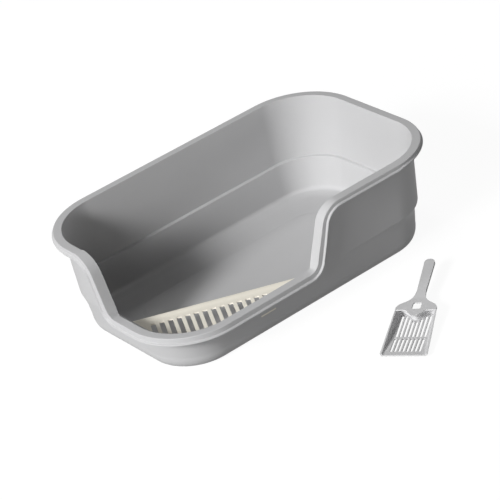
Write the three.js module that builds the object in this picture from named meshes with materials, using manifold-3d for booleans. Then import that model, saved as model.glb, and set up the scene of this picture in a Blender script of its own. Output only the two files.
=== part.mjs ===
import * as THREE from "three";
import { ConvexGeometry } from "three/addons/geometries/ConvexGeometry.js";
import { mergeVertices } from "three/addons/utils/BufferGeometryUtils.js";
import Module from "manifold-3d";

// An open-top litter box: a moulded tub whose wall dips to a low entrance round
// one corner, a slotted step that lies over that corner, and a loose scoop.
// Millimetres, +Z up, origin at the middle of the tub on the floor. The low
// corner is at -X, -Y.

const wasm = await Module();
wasm.setup();

// Rim of the tub, in plan and in height.
const rimLength = 600;
const rimWidth = 372.5;
const rimCornerRadius = 113.8;
const rimHeight = 181;
const entranceHeight = 77.4;
const entranceInset = 4;
const topFaceWidth = 14.8;
const topFaceRise = 0.5;
const edgeRound = 1.4;
const innerEdgeDrop = 3.5;
const frontSlopeFace = 4.2;
const sideSlopeFace = 4.5;
const rimThickness = 2.4;
const skirtFlare = 0.5;
const skirtDrop = 6.4;
const lipReach = 3.6;
const lipTopDrop = 8;
const lipBottomDrop = 10;
const cornerLipLift = 2.4;
const cornerLipInset = 0.9;
const entranceLipDrop = 2.2;

// The two slopes that lead from the entrance up to the full height. Their feet
// are measured from the centre of the low corner.
const frontLowLength = 166.1;
const sideLowLength = 50.4;
const frontSlopeAngle = THREE.MathUtils.degToRad(71.4);
const sideSlopeAngle = THREE.MathUtils.degToRad(76.4);
const footBend = 20;
const crestBend = 42;

// Outer wall, as distances out from the four corner centres.
const wallTopRadius = 98.3;
const wallShoulderRadius = 93;
const wallShoulderHeight = 67.6;
const wallWaistRadius = 85.6;
const wallWaistHeight = 52.5;
const wallFootRadius = 82.7;
const wallThickness = 3;
const footFilletWidth = 10.4;
const footFilletHeight = 21.8;

// Inside of the wall and the floor.
const ledgeHeight = 69.6;
const ledgeDrop = 1;
const ledgeWidth = 5.5;
const heelBend = 8;
const floorSweep = 80;
const sweepLean = THREE.MathUtils.degToRad(14);
const floorThickness = 3.2;
const panelLength = 398;
const panelWidth = 174;
const panelCornerRadius = 48;
const panelDrop = 1.2;
const panelBorder = 3;

// Slotted entrance step.
const stepThickness = 2.5;
const stepBottom = 44.5;
const stepWallGap = 0.4;
const stepFrontReach = 312.5;
const stepSideReach = 157.6;
const stepEndRadius = 8;
const beadWidth = 17;
const beadCrest = 5.5;
const beadHeight = 1.6;
const beadEdgeDrop = 1.8;
const skirtDepth = 10;
const skirtThickness = 2.4;
const skirtWallGap = 3;
const slotCount = 16;
const slotPitch = 14.26;
const slotWidth = 8.4;
const slotStart = 23.2;
const firstSlotInset = 40.9;
const slotReach = 120;
const slotBorder = 10;
const slotCornerRadius = 1.5;

// Tab of the step and the wall slot that it goes through, measured along the
// front from the step's left side.
const tabReach = 172.3;
const tabLength = 30.3;
const tabThickness = 2.6;
const tabBottom = 36.8;
const tabProud = 1;
const tabEndGap = 0.6;
const tabTopGap = 0.8;
const armThickness = 2.4;
const armWallGap = 0.9;

// Ledges inside the tub that carry the step, the near one measured from its
// left side and the others from the ends of its straight edge.
const restLength = 12;
const restDepth = 7;
const restHeight = 8;
const frontRestNear = 117.6;
const frontRestFar = 35;
const sideRest = 20;

// Scoop, along its own +X from the lip to the tip of the handle.
const scoopX = -17.3;
const scoopGap = 200.4;
const scoopHeading = THREE.MathUtils.degToRad(37);
const scoopLipBottom = 37;
const scoopLipHalf = 38;
const scoopBendHalf = 33;
const scoopRearBottom = 28;
const scoopRearHalf = 33.5;
const scoopBowl = 122;
const scoopBend = 52;
const scoopLipRise = 3;
const scoopFloor = 2.2;
const scoopWall = 2.2;
const scoopRearHeight = 17;
const scoopLipWall = 2;
const scoopCornerRound = 8;
const scoopSlots = 8;
const scoopSlotPitch = 6.5;
const scoopSlotWidth = 3.9;
const scoopSlotMargin = 4;
const scoopLipMargin = 10;
const bulgeDepth = 18;
const bulgeHalfWidth = 20;
const hoodOverhang = 8;
const hoodThickness = 3;
const shoulderReach = 2.5;
const shoulderHalf = 31;
const armpitReach = 5.5;
const armpitHalf = 27;
const hipReach = 12.5;
const hipHalf = 18;
const neckReach = 23;
const neckHalf = 10.8;
const stemReach = 38;
const handleHalf = 7.4;
const handleTipHalf = 8.6;
const handleLength = 249;
const handleThickness = 5;
const handleRise = THREE.MathUtils.degToRad(4);
const hangLength = 17;
const hangWidth = 13;
const hangCentre = 122;

// Colours of the mouldings.
const grey = 0xb9b9b9;
const cream = 0xddd7c9;

const cornerX = rimLength / 2 - rimCornerRadius;
const cornerY = rimWidth / 2 - rimCornerRadius;
const cornerSteps = 12;
const footSteps = 4;
const crestSteps = 6;
const slopeSteps = 3;
const filletSteps = 5;
const sweepSteps = 3;
const footFilletSteps = 4;

function fromManifold(solid) {
  const mesh = solid.getMesh();
  const geometry = new THREE.BufferGeometry();
  const positions = new THREE.BufferAttribute(new Float32Array(mesh.vertProperties), 3);
  geometry.setAttribute("position", positions);
  geometry.setIndex(new THREE.BufferAttribute(new Uint32Array(mesh.triVerts), 1));
  return geometry;
}

function toManifold(geometry) {
  const plain = geometry.clone();
  plain.deleteAttribute("normal");
  plain.deleteAttribute("uv");
  const merged = mergeVertices(plain);
  return new wasm.Manifold(new wasm.Mesh({
    numProp: 3,
    vertProperties: new Float32Array(merged.attributes.position.array),
    triVerts: new Uint32Array(merged.index.array),
  }));
}

function box(minX, maxX, minY, maxY, minZ, maxZ) {
  const geometry = new THREE.BoxGeometry(maxX - minX, maxY - minY, maxZ - minZ);
  geometry.translate((minX + maxX) / 2, (minY + maxY) / 2, (minZ + maxZ) / 2);
  return geometry;
}

// Corners of a polygon rounded off, each by its own radius.
function roundedOutline(corners, radii, steps) {
  const outline = [];
  corners.forEach((corner, i) => {
    const before = corners[(i + corners.length - 1) % corners.length];
    const after = corners[(i + 1) % corners.length];
    const toBefore = before.clone().sub(corner).normalize();
    const toAfter = after.clone().sub(corner).normalize();
    const half = Math.acos(toBefore.dot(toAfter)) / 2;
    const reach = radii[i] / Math.tan(half);
    const bisector = toBefore.clone().add(toAfter).normalize();
    const centre = corner.clone().addScaledVector(bisector, radii[i] / Math.sin(half));
    const start = corner.clone().addScaledVector(toBefore, reach).sub(centre);
    const end = corner.clone().addScaledVector(toAfter, reach).sub(centre);
    const from = start.angle();
    let turn = end.angle() - from;
    if (turn > Math.PI) turn -= 2 * Math.PI;
    if (turn < -Math.PI) turn += 2 * Math.PI;
    for (let k = 0; k <= steps[i]; k++) {
      const angle = from + (turn * k) / steps[i];
      outline.push(new THREE.Vector2(Math.cos(angle), Math.sin(angle))
        .multiplyScalar(radii[i]).add(centre));
    }
  });
  return outline;
}

function prism(outline, bottom, top) {
  const shape = new THREE.Shape(outline);
  const geometry = new THREE.ExtrudeGeometry(shape, { depth: top - bottom, bevelEnabled: false });
  geometry.translate(0, 0, bottom);
  return geometry;
}

// Stations round the tub. Each has a base point on the rectangle of the corner
// centres, its outward direction, and the place of the rim there: how far along
// its side the rim runs, how high, and how steeply it climbs.
function slopeStations(foot, angle) {
  const rise = rimHeight - entranceHeight;
  const cut = 1 - Math.cos(angle);
  const straight = (rise - (footBend + crestBend) * cut) / Math.sin(angle);
  const stations = [];
  for (let k = 0; k <= footSteps; k++) {
    const t = (angle * k) / footSteps;
    stations.push({
      along: foot + footBend * Math.sin(t),
      height: entranceHeight + footBend * (1 - Math.cos(t)),
      climb: t,
      lift: 0,
    });
  }
  const last = stations[footSteps];
  for (let k = 1; k < slopeSteps; k++) {
    const run = (straight * k) / slopeSteps;
    stations.push({
      along: last.along + run * Math.cos(angle),
      height: last.height + run * Math.sin(angle),
      climb: angle,
      lift: 0,
    });
  }
  const crestStart = last.along + straight * Math.cos(angle);
  for (let k = 0; k <= crestSteps; k++) {
    const t = angle * (1 - k / crestSteps);
    stations.push({
      along: crestStart + crestBend * (Math.sin(angle) - Math.sin(t)),
      height: rimHeight - crestBend * (1 - Math.cos(t)),
      climb: t,
      lift: 0,
    });
  }
  return stations;
}

// The skirt and its lip grow shallower towards the middle of each high corner.
function cornerStations(signX, signY, startAngle, height) {
  return Array.from({ length: cornerSteps + 1 }, (_, k) => {
    const angle = startAngle + (Math.PI / 2) * (k / cornerSteps);
    const offMiddle = (Math.PI / 4) * Math.abs((2 * k) / cornerSteps - 1);
    const fade = (Math.SQRT2 * Math.cos(offMiddle) - 1) / (Math.SQRT2 - 1);
    return {
      base: (along) => new THREE.Vector2(signX * cornerX, signY * cornerY),
      outward: new THREE.Vector2(Math.cos(angle), Math.sin(angle)),
      along: 0,
      height,
      climb: 0,
      wider: 0,
      lift: height < rimHeight ? 0 : Math.sqrt(Math.max(fade, 0)),
    };
  });
}

const frontStations = slopeStations(frontLowLength - cornerX, frontSlopeAngle).map((s) => ({
  ...s,
  base: (along) => new THREE.Vector2(along, -cornerY),
  outward: new THREE.Vector2(0, -1),
  wider: frontSlopeFace * Math.sin(s.climb),
}));
const sideStations = slopeStations(sideLowLength - cornerY, sideSlopeAngle).reverse().map((s) => ({
  ...s,
  base: (along) => new THREE.Vector2(-cornerX, along),
  outward: new THREE.Vector2(-1, 0),
  wider: sideSlopeFace * Math.sin(s.climb),
}));
const stations = [
  ...frontStations,
  ...cornerStations(1, -1, -Math.PI / 2, rimHeight),
  ...cornerStations(1, 1, 0, rimHeight),
  ...cornerStations(-1, 1, Math.PI / 2, rimHeight),
  ...sideStations,
  ...cornerStations(-1, -1, Math.PI, entranceHeight),
];

// The wall leans out evenly above its shoulder, and again below its waist.
function outerWallRadius(height) {
  const share = (height - wallShoulderHeight) / (rimHeight - wallShoulderHeight);
  return THREE.MathUtils.lerp(wallShoulderRadius, wallTopRadius, share);
}

function lowWallRadius(height) {
  const bottom = panelDrop + footFilletHeight;
  const share = (height - bottom) / (wallWaistHeight - bottom);
  return THREE.MathUtils.lerp(wallFootRadius, wallWaistRadius, share);
}

// A point of the wall or floor: plain, below the rim's own shape.
function wallPoint(station, radius, height) {
  const junction = station.along + rimThickness * Math.sin(station.climb);
  const base = station.base(junction);
  return new THREE.Vector3(
    base.x + station.outward.x * radius, base.y + station.outward.y * radius, height);
}

// A point of the rim's section, which stays square to the line of the rim.
function rimSection(station, out, down) {
  const inset = entranceInset * (rimHeight - station.height) / (rimHeight - entranceHeight);
  const base = station.base(station.along + down * Math.sin(station.climb));
  const radius = rimCornerRadius - inset + out;
  const height = station.height - down * Math.cos(station.climb);
  return new THREE.Vector3(
    base.x + station.outward.x * radius, base.y + station.outward.y * radius, height);
}

// How far the skirt and its lip are raised at the high corners and lowered
// round the entrance.
function lipRaise(station) {
  const fall = (rimHeight - station.height) / (rimHeight - entranceHeight);
  return cornerLipLift * station.lift - entranceLipDrop * Math.min(1, 1.5 * fall);
}

function rimBaseRadius(station) {
  const inset = entranceInset * (rimHeight - station.height) / (rimHeight - entranceHeight);
  return rimCornerRadius - inset;
}

// A ring with its own length, width and corner radius, such as the floor panel.
function panelPoint(station, length, width, radius, height) {
  const junction = station.along + rimThickness * Math.sin(station.climb);
  const base = station.base(junction);
  return new THREE.Vector3(
    base.x * (length / 2 - radius) / cornerX + station.outward.x * radius,
    base.y * (width / 2 - radius) / cornerY + station.outward.y * radius,
    height);
}

// Rows from the middle of the underside, out and up the outside, over the rim
// and down the inside to the middle of the floor.
const shoulderLow = wallShoulderHeight - wallWaistHeight;
const shoulderIn = wallShoulderRadius - wallWaistRadius;
const shoulderShares = [[1, 1], [0.86, 0.85], [0.22, 0.24], [0.06, 0.1], [0, 0]];
const rows = [];
rows.push((s) => panelPoint(s, panelLength, panelWidth, panelCornerRadius, 0));
rows.push((s) => panelPoint(
  s, panelLength + 2 * panelBorder, panelWidth + 2 * panelBorder,
  panelCornerRadius + panelBorder, panelDrop));
for (let k = 0; k <= footFilletSteps; k++) {
  const t = (Math.PI / 2) * (k / footFilletSteps);
  rows.push((s) => wallPoint(
    s, wallFootRadius - footFilletWidth * (1 - Math.sin(t)),
    panelDrop + footFilletHeight * (1 - Math.cos(t))));
}
for (const [outShare, upShare] of shoulderShares.slice().reverse()) {
  rows.push((s) => wallPoint(
    s, wallWaistRadius + outShare * shoulderIn, wallWaistHeight + upShare * shoulderLow));
}
function underRim(station) {
  const height = station.height - rimThickness * Math.cos(station.climb);
  return rimSection(station, outerWallRadius(height) - rimBaseRadius(station), rimThickness);
}
rows.push(underRim);
rows.push((s) => rimSection(s, -rimThickness, rimThickness));
rows.push((s) => rimSection(s, skirtFlare - rimThickness, lipBottomDrop - lipRaise(s)));
for (const drop of [lipBottomDrop, lipTopDrop]) {
  rows.push((s) => rimSection(
    s, lipReach - cornerLipInset * s.lift, drop - lipRaise(s)));
}
rows.push((s) => rimSection(s, skirtFlare, skirtDrop - lipRaise(s)));
for (const share of [0, 0.5, 1]) {
  const t = (Math.PI / 2) * share;
  rows.push((s) => rimSection(
    s, -edgeRound * (1 - Math.cos(t)), edgeRound * (1 - Math.sin(t))));
}
rows.push((s) => rimSection(s, -topFaceWidth - s.wider, -topFaceRise));
for (const share of [0.35, 0.7, 1]) {
  const t = (Math.PI / 2) * share;
  rows.push((s) => {
    const drop = innerEdgeDrop * (1 - Math.cos(t)) - topFaceRise;
    const height = s.height - drop * Math.cos(s.climb);
    const inner = outerWallRadius(height) - wallThickness - rimBaseRadius(s);
    return rimSection(s, THREE.MathUtils.lerp(-topFaceWidth - s.wider, inner, Math.sin(t)), drop);
  });
}
rows.push((s) => wallPoint(s, outerWallRadius(ledgeHeight) - wallThickness, ledgeHeight));
rows.push((s) => wallPoint(
  s, outerWallRadius(ledgeHeight) - wallThickness - ledgeWidth, ledgeHeight - ledgeDrop));
const innerTopRadius = outerWallRadius(ledgeHeight) - wallThickness - ledgeWidth;
const innerWaistRadius = wallWaistRadius - wallThickness;
for (const [outShare, upShare] of shoulderShares.slice(1)) {
  rows.push((s) => wallPoint(
    s, THREE.MathUtils.lerp(innerWaistRadius, innerTopRadius, outShare),
    wallWaistHeight + upShare * shoulderLow));
}
const floorTop = panelDrop + floorThickness;

// The wall turns in with a small bend and then runs out to the floor in a wide one.
const sweepRise = floorSweep * (1 - Math.cos(sweepLean));
const heelTop = floorTop + sweepRise + heelBend * Math.cos(sweepLean);
const heelCentre = lowWallRadius(heelTop) - wallThickness - heelBend;
for (let k = 0; k <= filletSteps; k++) {
  const t = THREE.MathUtils.lerp(Math.PI / 2, sweepLean, k / filletSteps);
  rows.push((s) => wallPoint(
    s, heelCentre + heelBend * Math.sin(t), heelTop - heelBend * Math.cos(t)));
}
const sweepStart = heelCentre + heelBend * Math.sin(sweepLean);
for (let k = 1; k <= sweepSteps; k++) {
  const t = sweepLean * (1 - k / sweepSteps);
  rows.push((s) => wallPoint(
    s, sweepStart - floorSweep * (Math.sin(sweepLean) - Math.sin(t)),
    floorTop + floorSweep * (1 - Math.cos(t))));
}
rows.push((s) => panelPoint(
  s, panelLength + 2 * panelBorder, panelWidth + 2 * panelBorder,
  panelCornerRadius + panelBorder, floorTop));
rows.push((s) => panelPoint(s, panelLength, panelWidth, panelCornerRadius, floorThickness));

// The step's straight inner edge crosses the low corner from wall to wall.
const stepRadius = lowWallRadius(stepBottom) - wallThickness - stepWallGap;
const stepLeft = -cornerX - stepRadius;
const stepFront = -cornerY - stepRadius;
const edgeStart = new THREE.Vector2(stepLeft, stepFront + stepSideReach);
const edgeEnd = new THREE.Vector2(stepLeft + stepFrontReach, stepFront);
const edgeLength = edgeStart.distanceTo(edgeEnd);
const edgeDirection = edgeEnd.clone().sub(edgeStart).normalize();
const edgeNormal = new THREE.Vector2(edgeDirection.y, -edgeDirection.x);
const tabCentre = stepLeft + tabReach;
const tabWallRadius = lowWallRadius(tabBottom + tabThickness / 2);

function loftRows(bottomCentre, topCentre) {
  const count = stations.length;
  const vertices = [];
  const triangles = [];
  for (const row of rows) {
    for (const station of stations) vertices.push(...row(station).toArray());
  }
  const bottomIndex = rows.length * count;
  vertices.push(...bottomCentre.toArray(), ...topCentre.toArray());
  for (let i = 0; i < count; i++) {
    const next = (i + 1) % count;
    triangles.push(bottomIndex, next, i);
    for (let j = 0; j + 1 < rows.length; j++) {
      const a = j * count + i;
      const b = j * count + next;
      triangles.push(a, b, b + count, a, b + count, a + count);
    }
    const last = (rows.length - 1) * count;
    triangles.push(bottomIndex + 1, last + i, last + next);
  }
  const geometry = new THREE.BufferGeometry();
  geometry.setAttribute("position", new THREE.Float32BufferAttribute(vertices, 3));
  geometry.setIndex(triangles);
  return geometry;
}

function buildTub() {
  let tub = toManifold(loftRows(
    new THREE.Vector3(0, 0, 0), new THREE.Vector3(0, 0, floorThickness)));
  const restTop = stepBottom;
  const restBottom = restTop - restHeight;
  const inner = lowWallRadius(restBottom) - wallThickness;
  const outer = inner + wallThickness / 2;
  for (const middle of [stepLeft + frontRestNear, edgeEnd.x - frontRestFar]) {
    tub = tub.add(toManifold(box(
      middle - restLength / 2, middle + restLength / 2,
      -cornerY - outer, -cornerY - inner + restDepth, restBottom, restTop)));
  }
  tub = tub.add(toManifold(box(
    -cornerX - outer, -cornerX - inner + restDepth,
    edgeStart.y - sideRest - restLength / 2, edgeStart.y - sideRest + restLength / 2,
    restBottom, restTop)));
  const cornerRest = box(
    inner - restDepth, outer, -restLength / 2, restLength / 2, restBottom, restTop);
  cornerRest.rotateZ(Math.PI * 5 / 4);
  cornerRest.translate(-cornerX, -cornerY, 0);
  tub = tub.add(toManifold(cornerRest));
  const wallSlot = box(
    tabCentre - tabLength / 2 - tabEndGap, tabCentre + tabLength / 2 + tabEndGap,
    -cornerY - tabWallRadius - wallThickness, 2 * wallThickness - cornerY - tabWallRadius,
    tabBottom - tabEndGap, tabBottom + tabThickness + tabTopGap);
  tub = tub.subtract(toManifold(wallSlot));
  return fromManifold(tub);
}

function stepOutline(radius) {
  const left = -cornerX - radius;
  const front = -cornerY - radius;
  const slope = edgeDirection.y / edgeDirection.x;
  const corners = [
    new THREE.Vector2(left, edgeStart.y + slope * (left - edgeStart.x)),
    new THREE.Vector2(left, front),
    new THREE.Vector2(edgeStart.x + (front - edgeStart.y) / slope, front),
  ];
  return roundedOutline(corners, [stepEndRadius, radius, stepEndRadius], [3, 12, 3]);
}

function buildStep() {
  const stepTop = stepBottom + stepThickness;
  const outline = stepOutline(stepRadius);
  const beadTop = stepTop + beadHeight;
  let step = toManifold(prism(outline, stepBottom, stepTop));

  const section = [
    new THREE.Vector2(0, stepBottom),
    new THREE.Vector2(beadWidth, stepBottom),
    new THREE.Vector2(beadWidth, stepTop),
    new THREE.Vector2((beadWidth + beadCrest) / 2, stepTop + beadHeight * 0.6),
    new THREE.Vector2(beadCrest, beadTop),
    new THREE.Vector2(beadCrest / 2, beadTop - beadEdgeDrop * 0.25),
    new THREE.Vector2(beadCrest / 6, beadTop - beadEdgeDrop * 0.7),
    new THREE.Vector2(0, beadTop - 1.5 * beadEdgeDrop),
  ];
  const bead = new THREE.ExtrudeGeometry(
    new THREE.Shape(section), { depth: edgeLength, bevelEnabled: false });
  bead.applyMatrix4(new THREE.Matrix4().makeBasis(
    new THREE.Vector3(edgeNormal.x, edgeNormal.y, 0),
    new THREE.Vector3(0, 0, 1),
    new THREE.Vector3(edgeDirection.x, edgeDirection.y, 0).negate()));
  bead.translate(edgeEnd.x, edgeEnd.y, 0);
  const beadBounds = toManifold(prism(outline, stepBottom - skirtDepth, beadTop + beadHeight));
  step = step.add(toManifold(bead).intersect(beadBounds));

  const skirtOutline = [
    [0, 0], [edgeLength, 0], [edgeLength, skirtThickness], [0, skirtThickness],
  ].map(([along, out]) => edgeStart.clone()
    .addScaledVector(edgeDirection, along).addScaledVector(edgeNormal, out));
  const skirt = toManifold(prism(skirtOutline, stepBottom - skirtDepth, stepBottom + stepThickness / 2));
  const skirtBounds = toManifold(prism(
    stepOutline(stepRadius - skirtWallGap), stepBottom - 2 * skirtDepth, stepTop));
  step = step.add(skirt.intersect(skirtBounds));

  const slotBounds = toManifold(prism(
    stepOutline(stepRadius - slotBorder), stepBottom - skirtDepth, beadTop));
  for (let k = 0; k < slotCount; k++) {
    const left = firstSlotInset + k * slotPitch;
    const right = left + slotWidth;
    const far = slotStart + slotReach;
    const corners = [[left, slotStart], [right, slotStart], [right, far], [left, far]].map(
      ([along, out]) => edgeStart.clone()
        .addScaledVector(edgeDirection, along).addScaledVector(edgeNormal, out));
    const slotOutline = roundedOutline(
      corners, Array(4).fill(slotCornerRadius), Array(4).fill(2));
    const slot = toManifold(prism(slotOutline, stepBottom - stepThickness, stepTop + stepThickness));
    step = step.subtract(slot.intersect(slotBounds));
  }

  // The tab hangs from the step's outer border and reaches out through the wall.
  const armOut = armWallGap + wallThickness - cornerY - lowWallRadius(tabBottom);
  step = step.add(toManifold(box(
    tabCentre - tabLength / 2, tabCentre + tabLength / 2,
    armOut, armOut + armThickness, tabBottom, stepBottom + stepThickness / 2)));
  step = step.add(toManifold(box(
    tabCentre - tabLength / 2, tabCentre + tabLength / 2,
    -cornerY - tabWallRadius - tabProud, armOut + armThickness / 2,
    tabBottom, tabBottom + tabThickness)));
  return fromManifold(step);
}

function capsule(startX, endX, middleY, width) {
  const radius = width / 2;
  const outline = [];
  for (let k = 0; k <= 4; k++) {
    const t = Math.PI / 2 + (Math.PI * k) / 4;
    outline.push(new THREE.Vector2(
      startX + radius + radius * Math.cos(t), middleY + radius * Math.sin(t)));
  }
  for (let k = 0; k <= 4; k++) {
    const t = -Math.PI / 2 + (Math.PI * k) / 4;
    outline.push(new THREE.Vector2(
      endX - radius + radius * Math.cos(t), middleY + radius * Math.sin(t)));
  }
  return outline;
}

function swellAt(y) {
  if (Math.abs(y) >= bulgeHalfWidth) return 0;
  return bulgeDepth * (1 + Math.cos((Math.PI * y) / bulgeHalfWidth)) / 2;
}

// The rear wall swells forwards in the middle, round the hanging slot.
function rearLine(offset) {
  const line = [];
  const steps = 12;
  for (let k = 0; k <= steps; k++) {
    const y = THREE.MathUtils.lerp(-bulgeHalfWidth, bulgeHalfWidth, k / steps);
    line.push(new THREE.Vector2(scoopBowl - swellAt(y) + offset, y));
  }
  return line;
}

// The bowl as a solid block, or its hollow where it is drawn in and taken
// further at the lip, the rear and the top.
function bowlBlock(inset, past, above) {
  const lean = (scoopRearHalf - scoopRearBottom) / scoopRearHeight;
  const rise = scoopLipRise + inset;
  const lipTop = scoopLipRise + scoopFloor + scoopLipWall + above;
  const points = [];
  for (const [x, half, height] of [
    [-past, scoopLipBottom - inset, rise + past * scoopLipRise / scoopBend],
    [-past, scoopLipHalf - inset + above * lean / 3, lipTop],
    [scoopBend, scoopBendHalf - inset, inset],
    [scoopBowl + past, scoopRearBottom - inset, inset],
    [scoopBowl + past, scoopRearHalf - inset + above * lean, scoopRearHeight + above],
  ]) {
    points.push(new THREE.Vector3(x, half, height), new THREE.Vector3(x, -half, height));
  }
  return toManifold(new ConvexGeometry(points));
}

function buildScoop() {
  const rear = -scoopWall - hoodOverhang;
  let scoop = bowlBlock(0, 0, 0).subtract(bowlBlock(scoopWall, 2 * scoopWall, 5 * scoopWall));
  const rearWall = [
    new THREE.Vector2(scoopBowl - scoopWall, -scoopRearHalf),
    new THREE.Vector2(scoopBowl, -scoopRearHalf),
    ...rearLine(0),
    new THREE.Vector2(scoopBowl, scoopRearHalf),
    new THREE.Vector2(scoopBowl - scoopWall, scoopRearHalf),
    ...rearLine(-scoopWall).reverse(),
  ];
  scoop = scoop.add(toManifold(prism(rearWall, 0, scoopRearHeight)).intersect(bowlBlock(0, 0, 0)));
  const behind = [
    new THREE.Vector2(scoopBowl + bulgeDepth, -scoopRearHalf),
    ...rearLine(0),
    new THREE.Vector2(scoopBowl + bulgeDepth, scoopRearHalf),
  ];
  scoop = scoop.subtract(toManifold(prism(behind, -scoopFloor, 2 * scoopRearHeight)));

  const hoodBottom = scoopRearHeight - hoodThickness;
  const hoodHalf = [
    new THREE.Vector2(scoopBowl, scoopRearHalf),
    new THREE.Vector2(scoopBowl + shoulderReach, shoulderHalf),
    new THREE.Vector2(scoopBowl + armpitReach, armpitHalf),
    new THREE.Vector2(scoopBowl + hipReach, hipHalf),
    new THREE.Vector2(scoopBowl + neckReach, neckHalf),
    new THREE.Vector2(scoopBowl + stemReach, handleHalf),
  ];
  const hood = [
    ...rearLine(rear).reverse(),
    new THREE.Vector2(scoopBowl + rear, -scoopRearHalf),
    ...hoodHalf.map((p) => new THREE.Vector2(p.x, -p.y)),
    ...hoodHalf.slice().reverse(),
    new THREE.Vector2(scoopBowl + rear, scoopRearHalf),
  ];
  scoop = scoop.add(toManifold(prism(hood, hoodBottom, scoopRearHeight)));

  // The two rear corners are rounded in plan.
  const pastHood = scoopRearHalf - hipHalf;
  const sideTaper = (scoopLipHalf - scoopRearHalf) / scoopBowl;
  const half = [
    new THREE.Vector2(-scoopLipHalf, scoopLipHalf + sideTaper * scoopLipHalf),
    new THREE.Vector2(scoopBowl, scoopRearHalf),
    new THREE.Vector2(scoopBowl + pastHood, hipHalf),
    new THREE.Vector2(handleLength + scoopBowl, hipHalf),
  ];
  const corners = [...half.map((p) => new THREE.Vector2(p.x, -p.y)), ...half.slice().reverse()];
  const small = scoopCornerRound / 10;
  const radii = [small, scoopCornerRound, small, small, small, small, scoopCornerRound, small];
  const plan = roundedOutline(corners, radii, [1, 5, 1, 1, 1, 1, 5, 1]);
  scoop = scoop.intersect(toManifold(prism(plan, -scoopFloor, 2 * scoopRearHeight)));

  const stem = scoopBowl + neckReach;
  const tipCentre = handleLength - handleTipHalf;
  const handleOutline = [
    new THREE.Vector2(stem, -neckHalf),
    new THREE.Vector2(scoopBowl + stemReach, -handleHalf),
    new THREE.Vector2(tipCentre, -handleTipHalf),
  ];
  for (let k = 1; k < 8; k++) {
    const t = -Math.PI / 2 + (Math.PI * k) / 8;
    handleOutline.push(new THREE.Vector2(
      tipCentre + handleTipHalf * Math.cos(t), handleTipHalf * Math.sin(t)));
  }
  handleOutline.push(
    new THREE.Vector2(tipCentre, handleTipHalf),
    new THREE.Vector2(scoopBowl + stemReach, handleHalf),
    new THREE.Vector2(stem, neckHalf));
  const handle = prism(handleOutline, -handleThickness, 0);
  handle.translate(-stem, 0, 0);
  handle.rotateY(-handleRise);
  handle.translate(stem, 0, scoopRearHeight);
  scoop = scoop.add(toManifold(handle));

  scoop = scoop.subtract(toManifold(prism(
    capsule(hangCentre - hangLength / 2, hangCentre + hangLength / 2, 0, hangWidth),
    hoodBottom - hoodThickness, scoopRearHeight + hoodThickness)));

  for (let k = 0; k < scoopSlots; k++) {
    const y = (k - (scoopSlots - 1) / 2) * scoopSlotPitch;
    const slotEnd = scoopBowl - scoopWall - swellAt(y) - scoopSlotMargin;
    const back = capsule(scoopBend + scoopSlotMargin / 2, slotEnd, y, scoopSlotWidth);
    scoop = scoop.subtract(toManifold(prism(back, -scoopFloor, 2 * scoopFloor)));
    const front = capsule(scoopLipMargin, scoopBend - scoopSlotMargin / 2, y, scoopSlotWidth);
    scoop = scoop.subtract(toManifold(prism(
      front, -scoopFloor, scoopLipRise + 2 * scoopFloor)));
  }
  return fromManifold(scoop);
}

function named(name, geometry, color, roughness) {
  const material = new THREE.MeshStandardMaterial({ color, roughness, metalness: 0 });
  const mesh = new THREE.Mesh(geometry, material);
  mesh.name = name;
  return mesh;
}

const litterBox = new THREE.Group();
litterBox.add(named("tub", buildTub(), grey, 0.45));
litterBox.add(named("entrance_grate", buildStep(), cream, 0.45));
const scoop = named("scoop", buildScoop(), grey, 0.45);
scoop.position.set(scoopX, -rimWidth / 2 - scoopGap, 0);
scoop.rotation.z = scoopHeading;
litterBox.add(scoop);

export default litterBox;
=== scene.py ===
import math

import bmesh
import bpy
from mathutils import Matrix, Vector


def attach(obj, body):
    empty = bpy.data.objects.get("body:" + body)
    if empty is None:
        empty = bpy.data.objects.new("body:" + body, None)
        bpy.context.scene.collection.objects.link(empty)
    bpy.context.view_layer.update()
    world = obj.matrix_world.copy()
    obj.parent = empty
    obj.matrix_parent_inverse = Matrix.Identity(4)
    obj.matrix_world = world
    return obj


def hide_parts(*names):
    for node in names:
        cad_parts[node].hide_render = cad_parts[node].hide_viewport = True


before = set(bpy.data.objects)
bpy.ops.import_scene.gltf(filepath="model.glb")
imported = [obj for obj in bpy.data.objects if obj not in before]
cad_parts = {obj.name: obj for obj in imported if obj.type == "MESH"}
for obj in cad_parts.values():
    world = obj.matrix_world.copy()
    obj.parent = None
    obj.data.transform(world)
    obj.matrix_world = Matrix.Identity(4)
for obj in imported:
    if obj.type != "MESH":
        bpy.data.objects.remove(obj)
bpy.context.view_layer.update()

scene = bpy.context.scene
scene.view_settings.view_transform = "Standard"
print("frame loaded:", ", ".join(sorted(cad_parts)))


# Camera and room

cameraView = {
    "azimuth": -33.05,  # degrees, from the front of the tub towards its low corner
    "elevation": 30.07,
    "roll": -11.68,
    "distance": 3.93213,  # metres from the origin along the view
    "across": 0.01113,
    "up": -0.04184,
    "lens": 169.86,  # millimetres
    "sensor": 36,
    "shiftAcross": -0.001,
    "shiftUp": 0.001,
    "reach": 60,
}


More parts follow.
